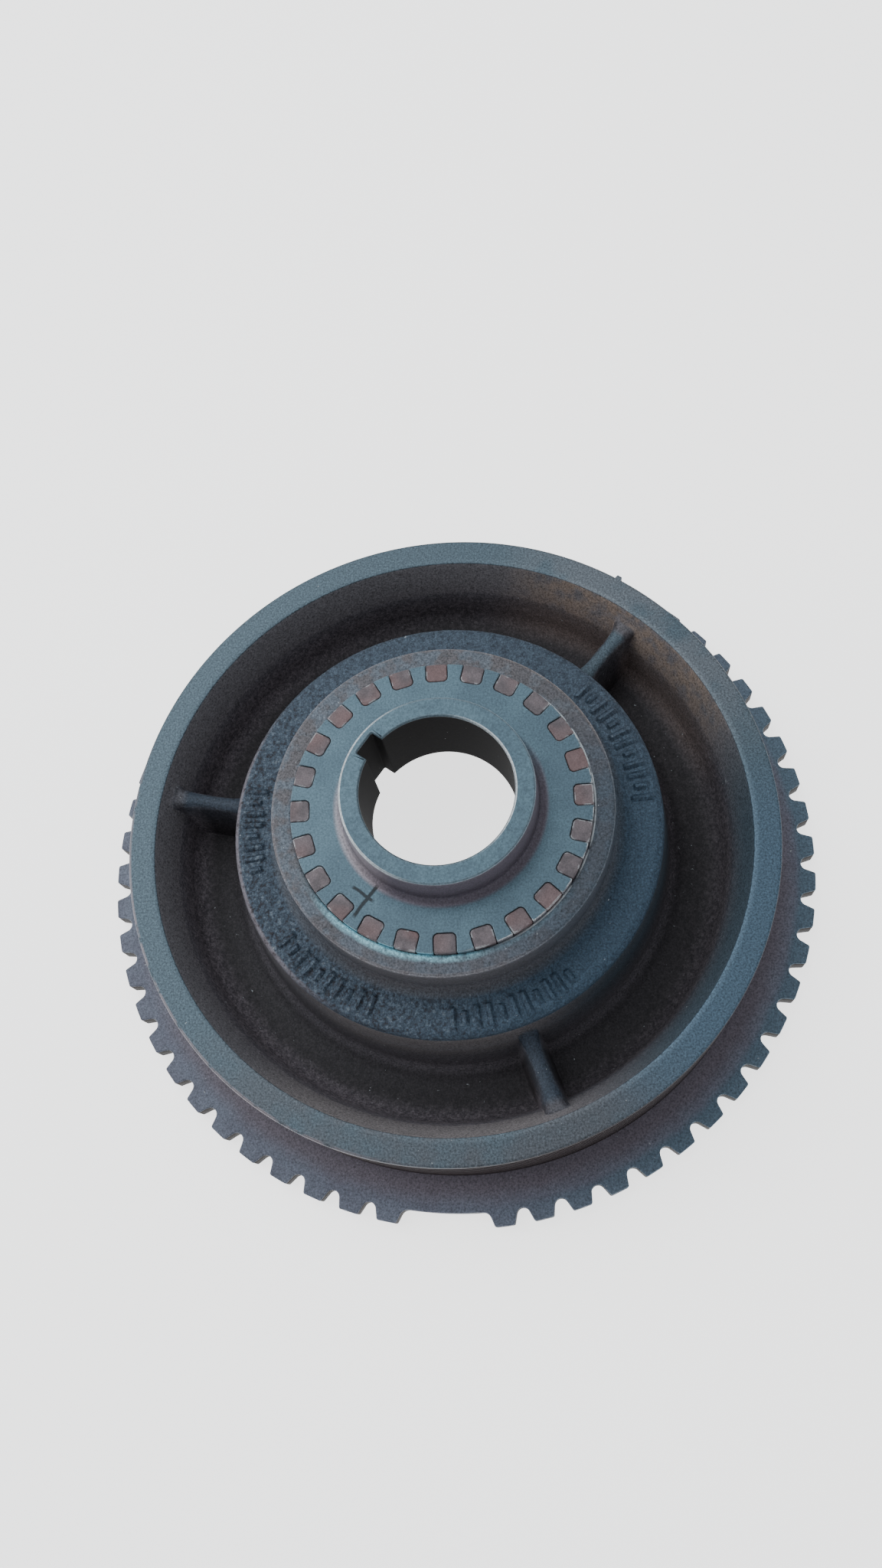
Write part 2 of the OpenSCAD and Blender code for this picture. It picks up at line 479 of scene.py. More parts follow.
def rib_half(r):
    """Half the width of a rib's top, which spreads where it meets the rim and the boss."""
    return RIB_W / 2 + 0.2 + 1.4 * np.exp(-(61.0 - r) / 1.8) + 0.5 * np.exp(-(r - 44.6) / 1.3)


def rib_top(r):
    """Height of a rib's top, which curves up where it meets the rim and the boss."""
    return RIB_Z + 3.6 * np.exp(-(r - 44.3) / 1.4) + 0.9 * np.exp(-(61.8 - r) / 2.2)


def rib_columns(r):
    """The directions of the points in a ring that crosses the ribs.

    With them comes each point's distance from the nearest rib's middle.
    """
    half = rib_half(r)
    side = [half * t for t in RIB_TOP] + [half + t for t in RIB_SIDE[1:]]
    across = np.array([-a for a in side[:0:-1]] + side)
    spread = np.arcsin(across / r)
    angles = []
    offsets = []
    for k in range(RIBS):
        middle = math.radians(RIB_ANGLE + k * 360 / RIBS)
        angles.append(middle + spread)
        offsets.append(np.abs(across))
        start = middle + spread[-1]
        end = middle + 2 * math.pi / RIBS - spread[-1]
        between = np.linspace(start, end, RIB_SPREAD + 2)[1:-1]
        angles.append(between)
        offsets.append(np.full(len(between), FAR_FROM_RIB))
    return np.concatenate(angles), np.concatenate(offsets)


def rib_height(r, across):
    """Height of a rib's surface at that distance from its middle."""
    half = rib_half(r)
    top = rib_top(r)
    past = across - (half - RIB_EDGE)
    rounded = RIB_EDGE - np.sqrt(np.clip(RIB_EDGE ** 2 - past ** 2, 0, None))
    side = RIB_EDGE + (past - RIB_EDGE) * RIB_STEEP
    drop = np.where(past <= 0, 0, np.where(past < RIB_EDGE, rounded, side))
    return np.maximum(top - drop, FAR_BELOW)


def mark_height(xy):
    """Height of the plain raised bars that stand on the shoulder."""
    r = np.hypot(xy[:, 0], xy[:, 1])
    angle = np.degrees(np.arctan2(xy[:, 1], xy[:, 0])) % 360
    height = np.zeros(len(xy))
    for start, end in MARK_RUNS:
        count = int((end - start) / MARK_PITCH) + 1
        for k in range(count):
            across = np.radians(angle - start - k * MARK_PITCH) * r
            length = MARK_L - MARK_SHORTER * (k % 3 == 1)
            out = np.abs(r - MARK_R) - length / 2 + MARK_ROUND
            side = np.abs(across) - MARK_W / 2 + MARK_ROUND
            gap = np.hypot(np.clip(out, 0, None), np.clip(side, 0, None))
            gap += np.minimum(np.maximum(out, side), 0)
            height = np.maximum(height, MARK_H * (1 - smoothstep(-0.05, 0.6, gap)))
    return height


def groove_profile():
    """The belt grooves from the front edge down, each edge and floor slightly rounded."""
    half_top = GROOVE_FLOOR / 2 + GROOVE_DEPTH * math.tan(math.radians(GROOVE_SLOPE))
    middle = (RIM_Z + RING_TOP_Z) / 2
    top = middle + GROOVE_PITCH * (GROOVES - 1) / 2
    out = []
    for i in range(GROOVES):
        z = top - i * GROOVE_PITCH
        half = []
        half.append((RIM_R, half_top + 0.16))
        half.append((RIM_R - 0.06, half_top + 0.03))
        half.append((RIM_R - 0.2, half_top - 0.08))
        half.append((RIM_R - GROOVE_DEPTH + 0.15, GROOVE_FLOOR / 2 + 0.06))
        half.append((RIM_R - GROOVE_DEPTH, GROOVE_FLOOR / 2 - 0.1))
        out += [(r, z + h) for r, h in half]
        out += [(r, z - h) for r, h in half[::-1]]
    return out


def fillet(centre_r, centre_z, radius, start, end, steps):
    """Points along an arc of a turned profile."""
    return [tuple(p) for p in arc((centre_r, centre_z), radius, start, end, steps)[0]]


def spaced(start, end, steps):
    """Points along a straight line of a profile, without its first one."""
    (r, z), (far_r, far_z) = start, end
    return [(r + (far_r - r) * t / steps, z + (far_z - z) * t / steps)
            for t in range(1, steps + 1)]


def raise_nib(grid):
    """Moves the points at the nib out from the rim's edge to the nib's face."""
    angle = np.arctan2(grid[..., 1], grid[..., 0]) - math.radians(NIB_ANGLE)
    across = np.abs(np.sin(angle) * RIM_R)
    near = 1 - smoothstep(NIB_W / 2 - 0.08, NIB_W / 2 + 0.08, across)
    radius = np.hypot(grid[..., 0], grid[..., 1])
    least = np.where(grid[..., 2] > RIM_Z - 0.1, RIM_R - 0.5, RIM_R - 3)
    tall = (grid[..., 2] > RIM_Z - NIB_H) & (radius > least) & (np.cos(angle) > 0)
    bigger = 1 + near * tall * (NIB_R - 0.1 - radius) / radius
    grid[..., :2] *= bigger[..., None]


def roughen(grid, peel):
    """Moves a grid's points along the surface's normal, less at its first and last rows."""
    around = np.roll(grid, -1, axis=1) - np.roll(grid, 1, axis=1)
    onward = np.gradient(grid, axis=0)
    normal = np.cross(onward, around)
    normal /= np.linalg.norm(normal, axis=2, keepdims=True) + 1e-9
    amount = peel * cast_lumps(grid.reshape(-1, 3)).reshape(grid.shape[:2])
    row = np.arange(len(grid))
    fade = np.clip(row / 2, 0, 1) * np.clip(row[::-1] / 2, 0, 1)
    grid += normal * (amount * fade[:, None])[..., None]


def build_casting():
    """The one-piece casting: collar, shoulder, channel with its ribs, belt rim and hollow back."""
    surface = Surface("cast", "grime_and_shade", "rust_and_sheen", "wear", "rib")
    rings = []

    def lay(profile, columns, cast=0.0, grime_and_shade=0.0, rust_and_sheen=0.0, wear=0.0, peel=0.0,
            marks=False, nib=False):
        """Adds one ring for each profile point. With no columns, the rings cross the ribs."""
        grid = []
        for r, z in profile:
            if columns is None:
                angles, across = rib_columns(r)
                reach = 3.0 if z < 14 else 1.2
                base = np.full(len(angles), float(z))
                height = blended_max(base, rib_height(r, across), reach)
            else:
                angles = np.linspace(0, 2 * np.pi, columns, endpoint=False)
                if nib:
                    extra = np.arcsin(np.array(NIB_COLUMNS) / RIM_R)
                    angles = np.sort(np.concatenate([angles, math.radians(NIB_ANGLE) + extra]))
                height = np.full(len(angles), float(z))
            grid.append(np.column_stack([r * np.cos(angles), r * np.sin(angles), height]))
        grid = np.array(grid)
        level = np.array([z for r, z in profile])[:, None]
        rise_of_rib = smoothstep(0.05, 1.2, grid[..., 2] - level)
        if nib:
            raise_nib(grid)
        if marks:
            raised = mark_height(grid.reshape(-1, 3)[:, :2]).reshape(grid.shape[:2])
            grid[..., 2] += raised * (grid[..., 2] > SHOULDER_Z - 0.3)
        if peel:
            roughen(grid, peel)
        for row, on_rib in zip(grid, rise_of_rib):
            here = {"cast": cast, "grime_and_shade": grime_and_shade, "rust_and_sheen": rust_and_sheen, "wear": wear}
            here = {name: value(row) if callable(value) else value for name, value in here.items()}
            rings.append(surface.ring(row[:, :2], row[:, 2], rib=on_rib, **here))

    def soil_and_shade(row):
        """How much grime and painted shade the channel gets: little at the lip, most on the floor
        and the boss's wall.
        """
        outer = smoothstep(55.0, 58.0, np.hypot(row[:, 0], row[:, 1]))
        down_wall = smoothstep(1.5, 13.0, RIM_Z - row[:, 2])
        return (1 - outer) * (0.55 + 0.45 * depth(row)) + outer * down_wall

    def depth(row):
        """How deep a ring's points lie in the channel, from 0 at the lip to 1 near the floor."""
        return smoothstep(3.0, 15.0, RIM_Z - row[:, 2])

    # The collar: its bore, a machined chamfer, the mottled top and the outer wall.
    bore = [(DISC_R + 0.02, SEAT_Z), (DISC_R + 0.02, 38.0), (DISC_R + 0.02, COLLAR_Z - 0.2)]
    lay(bore, BORE_COLUMNS)
    lay([(DISC_R + 0.1, COLLAR_Z - 0.08), (DISC_R + 0.35, COLLAR_Z)], COLLAR_COLUMNS)
    top = [(r, COLLAR_Z) for r in (30.7, 31.1, 31.6, 32.1, 32.6, 33.1, 33.45)]
    lay(top, COLLAR_COLUMNS, cast=0.3, rust_and_sheen=0.08, peel=0.03)
    edge = fillet(COLLAR_R - COLLAR_EDGE, COLLAR_Z - COLLAR_EDGE, COLLAR_EDGE, 80, 10, 4)
    lay(edge, COLLAR_COLUMNS, cast=0.3, rust_and_sheen=0.25)
    wall = spaced((COLLAR_R, 41.6), (COLLAR_R, 35.6), 4)
    lay(wall, COLLAR_COLUMNS, cast=0.5, grime_and_shade=0.25, rust_and_sheen=0.2)
    foot = fillet(COLLAR_R + COLLAR_FOOT, SHOULDER_Z + COLLAR_FOOT, -COLLAR_FOOT, 6, 60, 5)
    lay(foot, FOOT_COLUMNS, cast=0.8, grime_and_shade=0.25, rust_and_sheen=0.15, peel=0.05)
    # The shoulder, with its orange peel, its raised bars and its rounded edge.
    flat = spaced((COLLAR_R + 2.3, SHOULDER_Z + 0.12), (SHOULDER_START, SHOULDER_Z), 3)
    flat += spaced(flat[-1], (SHOULDER_R - SHOULDER_EDGE, SHOULDER_Z), 22)
    flat += fillet(SHOULDER_R - SHOULDER_EDGE, SHOULDER_Z - SHOULDER_EDGE, SHOULDER_EDGE, 78, 8, 6)
    lay(flat, SHOULDER_COLUMNS, cast=1, peel=0.07, marks=True)
    # The channel, which the ribs cross, as far as the bevelled lip.
    well = [(SHOULDER_R + 0.05, SHOULDER_Z - 1.9), (SHOULDER_R + 0.15, SHOULDER_Z - 2.7)]
    well += spaced(well[-1], (BOSS_FOOT_R, FLOOR_Z + FLOOR_FILLET), 9)
    inner_turn = BOSS_FOOT_R + FLOOR_FILLET
    outer_turn = LIP_R - 1 - FLOOR_FILLET
    well += fillet(inner_turn, FLOOR_Z + FLOOR_FILLET, -FLOOR_FILLET, 10, 84, 7)
    well += spaced((inner_turn, FLOOR_Z), (outer_turn, FLOOR_Z), 3)
    well += fillet(outer_turn, FLOOR_Z + FLOOR_FILLET, -FLOOR_FILLET, 96, 170, 7)
    well += spaced((LIP_R - 1, FLOOR_Z + FLOOR_FILLET), (LIP_R, RIM_Z - LIP_H), 4)
    lay(well, None, cast=1, grime_and_shade=soil_and_shade, rust_and_sheen=lambda row: 0.8 - 0.8 * depth(row), peel=0.1)
    lip = spaced((LIP_R, RIM_Z - LIP_H), (RIM_INNER_R - 0.08, RIM_Z - 0.3), 12)
    lay(lip, None, cast=0.7, grime_and_shade=soil_and_shade, rust_and_sheen=0.8, peel=0.07)
    # The machined front face of the rim and the belt grooves.
    face = [(RIM_INNER_R + 0.06, RIM_Z - 0.08)]
    face += [(r, RIM_Z) for r in (RIM_INNER_R + 0.25, 63.5, 65.0, 66.5, RIM_R - 0.62)]
    lay(face, RIM_COLUMNS, nib=True)
    edge = fillet(RIM_R - RIM_EDGE, RIM_Z - RIM_EDGE, RIM_EDGE, 90, 0, 4)
    lay(edge, RIM_COLUMNS, wear=0.7, nib=True)
    lay(groove_profile(), RIM_COLUMNS, grime_and_shade=0.75, rust_and_sheen=0.35, nib=True)
    # The hidden joint with the sensor ring, the back and the hollow behind the hub.
    back = [(RIM_R, RING_TOP_Z + 0.3), (RIM_R - 0.3, RING_TOP_Z)]
    back += [(SPIGOT_R, RING_TOP_Z), (SPIGOT_R, 0.5)]
    back += fillet(SPIGOT_R - 0.4, 0.4, 0.4, 0, -90, 3)
    back += [(SPIGOT_R - 1, 0), (48.0, 0), (CUP_R + 1, 0)]
    back += fillet(CUP_R + 0.5, 0.5, 0.5, 270, 180, 3)
    lay(back, RIM_COLUMNS, cast=0.1, rust_and_sheen=0.15)
    web_z = SHOULDER_Z - WEB_T
    turn_r = CUP_R - CUP_DRAFT - CUP_FILLET
    cup = spaced((CUP_R, 1.2), (CUP_R - CUP_DRAFT, web_z - CUP_FILLET), 16)
    cup += fillet(turn_r, web_z - CUP_FILLET, CUP_FILLET, 8, 90, 6)
    cup += spaced((turn_r, web_z), (LEDGE_R + 0.6, web_z), 8)
    lay(cup, RIM_COLUMNS, cast=1, grime_and_shade=0.6, rust_and_sheen=0.2, peel=0.14)
    lay([(LEDGE_R, web_z + 0.5), (LEDGE_R, SEAT_Z), (27.5, SEAT_Z)], RIM_COLUMNS)
    surface.skin(rings + rings[:1])
    return surface.make("casting_looks")


# ---- the hub, its blocks and the sensor ring ----

def build_hub():
    """The steel hub: bore with keyway, nose, and a disc with a slot for each block."""
    surface = Surface("wear")
    bore = bore_outline()
    disc = disc_outline()
    rings = []
    for in_by, z in ((0.4, SEAT_Z), (0, SEAT_Z + 0.4), (0, NOSE_Z - 0.55)):
        rings.append(surface.ring(inset(bore, in_by), z))
    for in_by, down in bevel(0.4, 4):
        rings.append(surface.ring(inset(bore, in_by), NOSE_Z - down, wear=1))
    rings.append(surface.ring(inset(bore, 0.48), NOSE_Z))
    outer = 300
    rings.append(surface.ring(circle(NOSE_R - 0.45, outer), NOSE_Z))
    for in_by, down in bevel(0.38, 4)[::-1]:
        rings.append(surface.ring(circle(NOSE_R - in_by, outer), NOSE_Z - down, wear=1))
    rings.append(surface.ring(circle(NOSE_R + 0.05, outer), NOSE_Z - 1.2))
    fillet_r = NOSE_R + NOSE_TAPER + NOSE_FILLET
    for r, z in fillet(fillet_r, DISC_Z + NOSE_FILLET, -NOSE_FILLET, 4, 90, 9):
        rings.append(surface.ring(circle(r, outer), z))
    foot = surface.ring(circle(fillet_r + 0.1, outer), DISC_Z)
    rings.append(foot)
    surface.skin(rings)
    edge = surface.ring(inset(disc, 0.2), DISC_Z)
    surface.cap(True, edge, foot)
    wall = [edge]
    for in_by, down in bevel(0.14, 3)[::-1]:
        wall.append(surface.ring(inset(disc, in_by), DISC_Z - down, wear=1))
    wall.append(surface.ring(inset(disc, 0), DISC_Z - 0.6, wear=0.8))
    wall.append(surface.ring(inset(disc, 0), SEAT_Z))
    surface.skin(wall)
    surface.cap(False, wall[-1], rings[0])
    return surface.make("hub_looks")


def build_block(number, sink):
    """One lock block, with worn edges, lying that far below the disc's face."""
    surface = Surface("wear")
    points, normals = turned_run(block_outline(), (number - 1) * 360 / BLOCKS)
    shape = (points, normals)
    top = DISC_Z - sink
    rings = [surface.ring(inset(shape, 0), SEAT_Z)]
    for in_by, down in bevel(0.22, 3):
        rings.append(surface.ring(inset(shape, in_by), top - down, wear=1))
    rings.append(surface.ring(inset(shape, 0.3), top))
    surface.skin(rings[::-1])
    surface.cap(True, rings[-1])
    surface.cap(False, rings[0])
    return surface.make(f"lock_block_{number:02d}_looks")


def build_sensor_ring():
    """The stamped ring with its teeth, bevelled at the front and slightly at the back."""
    surface = Surface("wear")
    teeth = teeth_outline(TOOTH_CORNER, LONG_GAP_CORNER)
    inner = 240
    hole = surface.ring(circle(SPIGOT_R, inner), RING_Z)
    hole_top = surface.ring(circle(SPIGOT_R, inner), RING_TOP_Z)
    surface.join(hole, hole_top)
    rings = [surface.ring(inset(teeth, 0.3), RING_TOP_Z)]
    for in_by, down in bevel(0.22, 3)[::-1]:
        rings.append(surface.ring(inset(teeth, in_by), RING_TOP_Z - down, wear=1))
    for in_by, down in bevel(0.15, 2):
        rings.append(surface.ring(inset(teeth, in_by), RING_Z + down, wear=0.3))
    rings.append(surface.ring(inset(teeth, 0.2), RING_Z))
    surface.skin(rings)
    surface.join(hole_top, rings[0])
    surface.join(rings[-1], hole)
    return surface.make("sensor_ring_looks")


# ---- materials ----
# Masks take radii and heights in millimetres, and directions in degrees from +x towards +y.

def srgb(red, green, blue):
    """A colour given as it looks on a screen, from 0 to 255, as linear light."""
    out = []
    for c in (red, green, blue):
        c = c / 255
        out.append(c / 12.92 if c <= 0.04045 else ((c + 0.055) / 1.055) ** 2.4)
    return (*out, 1.0)


class Shader:
    """A procedural material, and short ways to wire its nodes."""

    def __init__(self, name):
        self.material = bpy.data.materials.new(name)
        self.material.use_nodes = True
        self.tree = self.material.node_tree
        self.surface = self.tree.nodes["Principled BSDF"]
        self.place = self.tree.nodes.new("ShaderNodeTexCoord").outputs["Object"]
        self.bumps = None
        self.here = None

    def wire(self, value, socket):
        """Links a node's output, or sets a plain value, on a socket."""
        if isinstance(value, bpy.types.NodeSocket):
            self.tree.links.new(value, socket)
        else:
            socket.default_value = value

    def noise(self, size, detail=3.0, seed=0.0, rough=0.55):
        """Noise with features of about that size in millimetres."""
        node = self.tree.nodes.new("ShaderNodeTexNoise")
        node.noise_dimensions = "4D"
        self.wire(self.place, node.inputs["Vector"])
        node.inputs["Scale"].default_value = 1 / (size * MM)
        node.inputs["Detail"].default_value = detail
        node.inputs["Roughness"].default_value = rough
        node.inputs["W"].default_value = seed
        return node.outputs["Fac"]

    def math(self, kind, a, b=0.0, c=0.0):
        """One arithmetic step."""
        node = self.tree.nodes.new("ShaderNodeMath")
        node.operation = kind
        for k, value in enumerate((a, b, c)):
            self.wire(value, node.inputs[k])
        return node.outputs[0]

    def step(self, value, low, high):
        """0 where value is below low, 1 above high, smooth between. low may be the larger one."""
        node = self.tree.nodes.new("ShaderNodeMapRange")
        node.interpolation_type = "SMOOTHSTEP"
        self.wire(value, node.inputs["Value"])
        flip = low > high
        node.inputs["From Min"].default_value = min(low, high)
        node.inputs["From Max"].default_value = max(low, high)
        node.inputs["To Min"].default_value = 1.0 if flip else 0.0
        node.inputs["To Max"].default_value = 0.0 if flip else 1.0
        return node.outputs["Result"]

    def mix(self, factor, a, b):
        """Colour a where factor is 0 and b where it is 1."""
        node = self.tree.nodes.new("ShaderNodeMix")
        node.data_type = "RGBA"
        self.wire(factor, node.inputs[0])
        self.wire(a, node.inputs[6])
        self.wire(b, node.inputs[7])
        return node.outputs[2]

    def over(self, colour, other, *masks):
        """A colour with another one laid over it, as much as the masks let through."""
        return self.mix(self.product(*masks), colour, other)

    def shade(self, colour, amount):
        """A colour made darker or lighter by a factor."""
        node = self.tree.nodes.new("ShaderNodeVectorMath")
        node.operation = "SCALE"
        self.wire(colour, node.inputs[0])
        self.wire(amount, node.inputs["Scale"])
        return node.outputs[0]

    def grained(self, colour, grain, amount):
        """A colour made lighter and darker by a noise."""
        return self.shade(colour, self.linear(grain, amount, 1 - amount / 2))

    def speckle(self, colour, size, seed, amount):
        """A colour with fine light and dark grain of that size in millimetres."""
        return self.grained(colour, self.noise(size, 2.0, seed, 0.7), amount)

    def field(self, name):
        """A value kept at the mesh's points."""
        node = self.tree.nodes.new("ShaderNodeAttribute")
        node.attribute_name = name
        return node.outputs["Fac"]

    def position(self):
        """x, y, z and the distance from the axis, in millimetres."""
        if self.here is None:
            node = self.tree.nodes.new("ShaderNodeVectorMath")
            node.operation = "SCALE"
            self.wire(self.place, node.inputs[0])
            node.inputs["Scale"].default_value = 1 / MM
            apart = self.tree.nodes.new("ShaderNodeSeparateXYZ")
            self.wire(node.outputs[0], apart.inputs[0])
            x, y, z = apart.outputs
            squares = self.math("ADD", self.product(x, x), self.product(y, y))
            self.here = (x, y, z, self.math("SQRT", squares))
        return self.here

    def bump(self, height, depth, strength=1.0):
        """Adds relief of that depth in millimetres."""
        node = self.tree.nodes.new("ShaderNodeBump")
        node.inputs["Distance"].default_value = depth * MM
        self.wire(strength, node.inputs["Strength"])
        self.wire(height, node.inputs["Height"])
        if self.bumps is not None:
            self.wire(self.bumps, node.inputs["Normal"])
        self.bumps = node.outputs["Normal"]

    def product(self, *values):
        """Several values or masks, multiplied."""
        out = values[0]
        for value in values[1:]:
            out = self.math("MULTIPLY", out, value)
        return out

    def linear(self, value, factor, offset):
        """A value times a factor, plus an offset."""
        return self.math("MULTIPLY_ADD", value, factor, offset)

    def band(self, value, low, high, soft):
        """1 between low and high, with soft edges."""
        rise = self.step(value, low - soft, low + soft)
        return self.product(rise, self.step(value, high + soft, high - soft))

    def side(self, degrees, low, high):
        """1 on the side of the axis that faces one direction, 0 elsewhere.

        low and high are cosines of the angle from that direction.
        """
        a = math.radians(degrees)
        x, y, _, radius = self.position()
        along = self.math("ADD", self.product(x, math.cos(a)), self.product(y, math.sin(a)))
        return self.step(self.math("DIVIDE", along, self.math("MAXIMUM", radius, 1.0)), low, high)

    def finish(self, colour, roughness, metallic, specular=0.5):
        """Wires the last colour, roughness, metal, gloss and relief to the surface."""
        self.wire(colour, self.surface.inputs["Base Color"])
        self.wire(roughness, self.surface.inputs["Roughness"])
        self.wire(metallic, self.surface.inputs["Metallic"])
        self.wire(specular, self.surface.inputs["Specular IOR Level"])
        if self.bumps is not None:
            self.wire(self.bumps, self.surface.inputs["Normal"])
        return self.material


MACHINED = srgb(84, 101, 112)
MACHINED_BROWN = srgb(88, 90, 96)
MACHINED_BLUE = srgb(81, 103, 121)
MACHINED_PALE = srgb(104, 112, 120)
CAST = srgb(80, 95, 110)
CAST_DARK = srgb(56, 66, 79)
CAST_BLUE = srgb(60, 84, 104)
WELL = srgb(80, 75, 79)
WELL_DARK = srgb(50, 47, 51)
LIP = srgb(152, 148, 152)
LIP_BLUE = srgb(100, 115, 126)
RUST_GLOW = srgb(128, 112, 104)
LIP_PALE = srgb(186, 178, 178)
LIT_RUST = srgb(190, 170, 156)
COLLAR_BROWN = srgb(86, 84, 88)
COLLAR_GREY = srgb(88, 98, 109)
BRIGHT = srgb(205, 212, 216)
PINK_HIGHLIGHT = srgb(172, 160, 166)
CYAN_GLINT = srgb(156, 218, 234)
HUB = srgb(90, 114, 127)
HUB_DARK = srgb(82, 104, 117)
BELT_DUST_SHADE = srgb(44, 36, 38)
BORE = srgb(20, 18, 20)
NOSE_SHADE = srgb(100, 94, 105)
BLOCK = srgb(122, 112, 116)
BLOCK_DARK = srgb(100, 93, 97)
BLOCK_RED = srgb(132, 101, 99)
RING = srgb(106, 112, 126)
RING_DARK = srgb(98, 101, 115)
RING_BROWN = srgb(110, 102, 111)
RING_BLUE = srgb(92, 116, 132)
RING_EDGE = srgb(20, 12, 10)


def casting_material():
    """Iron, machined on the rim and collar and sand-cast elsewhere, dark in the channel with grime
    and painted shade, and with painted highlights, shade and reflections in places.
    """
    s = Shader("cast_iron")
    z, radius = s.position()[2:]
    cast, grime_and_shade, rust_and_sheen, wear, rib = (s.field(n) for n in ("cast", "grime_and_shade", "rust_and_sheen", "wear", "rib"))
    cloud = s.noise(11, 4, 1)
    patch = s.noise(3.2, 4, 2)
    grain = s.noise(0.5, 3, 3, 0.7)
    sand = s.noise(0.75, 5, 5, 0.65)
    dust = s.noise(0.8, 2, 7)
    # Painted shade makes the rim's machined face browner and duller, in patches, towards the
    # bottom.
    bottom_shade = s.product(s.step(cloud, 0.3, 0.6), s.side(272, 0.4, 0.95))
    machined = s.mix(s.product(bottom_shade, 0.8), MACHINED, MACHINED_BROWN)
    # A painted sheen makes the face paler, in patches, at the upper right.
    pale = s.product(s.step(cloud, 0.35, 0.55), s.side(45, 0.8, 0.98))
    machined = s.over(machined, MACHINED_PALE, pale)
    # A painted reflection makes the face bluer at the right.
    machined = s.over(machined, MACHINED_BLUE, s.side(335, 0.75, 0.98))
    machined = s.grained(machined, grain, 1.2)
    rough = s.mix(s.step(sand, 0.34, 0.64), CAST_DARK, CAST)
    # A painted reflection makes the cast surfaces bluer towards the lower right.
    rough = s.over(rough, CAST_BLUE, s.side(325, 0.3, 1.0), 0.6)
    colour = s.mix(cast, machined, rough)
    # The collar's top is mottled, with painted shade at the near right, and a turned band inside
    # that is painted bright on the near side as a highlight, with a painted cyan glint near the
    # bottom.
    collar = s.band(z, 41.0, COLLAR_Z + 0.4, 0.3)
    mottled = s.mix(s.step(patch, 0.42, 0.6), COLLAR_BROWN, COLLAR_GREY)
    mottled = s.grained(mottled, sand, 1.4)
    mottled = s.over(mottled, CAST_DARK, s.side(318, -0.5, 0.6), 0.62)
    colour = s.over(colour, mottled, collar)
    turned_band_sheen = s.product(collar, s.step(s.linear(patch, 1.2, radius), 32.3, 31.5))
    colour = s.over(colour, HUB, turned_band_sheen, s.side(262, 0.3, 0.9), 0.7)
    glint = s.product(collar, s.step(s.linear(patch, 1.6, radius), 32.6, 31.1))
    glint = s.product(glint, s.step(patch, 0.3, 0.5), 0.85)
    colour = s.over(colour, CYAN_GLINT, glint, s.side(250, 0.78, 0.96))
    # The lip is grey and rusty at the upper right, where the rust is painted bright as if lit; it
    # is painted paler at the bottom as a highlight and darker and bluer at the right as shade.
    lip = s.mix(s.product(s.step(patch, 0.3, 0.6), s.side(46, 0.84, 0.97)), LIP, LIT_RUST)
    lip = s.over(lip, LIP_PALE, s.side(262, 0.8, 0.97))
    lip = s.over(lip, LIP_BLUE, s.side(337, 0.72, 0.95))
    colour = s.over(colour, lip, rust_and_sheen, s.linear(rib, -0.85, 1.0))
    # Painted shade darkens the collar's wall on the near side.
    collar_wall = s.product(s.band(z, 32.6, 41.4, 0.6), s.step(radius, 38.5, 37.0), 0.55)
    colour = s.over(colour, WELL, collar_wall, s.side(285, 0.0, 0.8))
    # The channel's grime and painted shade fade out towards the top of a rib.
    inside = s.band(radius, SHOULDER_R + 0.9, 58.5, 0.8)
    rib_crest = s.product(inside, s.step(z, RIB_Z - 0.9, RIB_Z))
    well = s.mix(s.step(sand, 0.35, 0.7), WELL_DARK, WELL)
    # Painted shade darkens the channel towards its floor.
    well = s.shade(well, s.linear(s.step(z, 17.0, 11.0), -0.35, 1.0))
    # Painted light makes the boss's wall lighter on the near side.
    boss_wall = s.product(s.step(radius, 56.5, 47.0), s.side(265, -0.2, 0.7))
    well = s.over(well, COLLAR_BROWN, boss_wall, 0.4)
    # Painted light lifts the channel's corners at the boss's foot and under the lip.
    corners = s.product(s.band(radius, 45.8, 47.8, 1.0), 1.2)
    corners = s.math("ADD", s.band(radius, 55.5, 60.5, 2.0), corners)
    well = s.shade(well, s.linear(corners, 1.3, 0.95))
    # Painted shade darkens the boss's wall just under the shoulder's edge.
    boss_top = s.product(s.step(radius, 46.2, 45.2), s.step(z, 17.0, 24.0))
    well = s.shade(well, s.linear(boss_top, -0.4, 1.0))
    # Painted light lifts the channel's outer corner at the left.
    corner_lift = s.product(s.band(radius, 55.0, 59.0, 1.5), s.side(195, -0.3, 0.6))
    well = s.shade(well, s.linear(corner_lift, 0.6, 1.0))
    # Rust in the channel at the upper right, painted bright as a glow of light.
    channel_rust_glow = s.product(s.side(46, 0.8, 0.96), s.step(radius, 54.0, 58.5))
    well = s.over(well, RUST_GLOW, channel_rust_glow, 0.55)
    colour = s.over(colour, well, grime_and_shade, s.linear(rib_crest, -1, 1))
    # The ribs' tops are blue-grey, and the upper right one's is painted lighter as a highlight.
    rib_blue = s.mix(s.side(48, 0.7, 0.9), CAST_DARK, MACHINED)
    colour = s.over(colour, rib_blue, rib_crest, 0.85)
    # Painted shade darkens the ribs where they meet the lip.
    colour = s.over(colour, WELL, rib, s.step(radius, 57.5, 59.5), 0.7)
    colour = s.speckle(colour, 0.4, 8, 2.8)
    colour = s.over(colour, WELL_DARK, s.step(grain, 0.36, 0.28), 0.5)
    colour = s.over(colour, BRIGHT, s.step(dust, 0.7, 0.77), 0.65)
    # Painted pink highlights run along the outer edges of the rim and the shoulder at the left.
    colour = s.over(colour, PINK_HIGHLIGHT, wear, s.step(patch, 0.36, 0.5), s.side(212, 0.55, 0.95), 0.7)
    shoulder_edge = s.product(s.band(radius, 43.2, 44.3, 0.25), s.band(z, 30.6, 31.9, 0.2))
    colour = s.over(colour, PINK_HIGHLIGHT, shoulder_edge, s.side(190, 0.6, 0.95), 0.45)
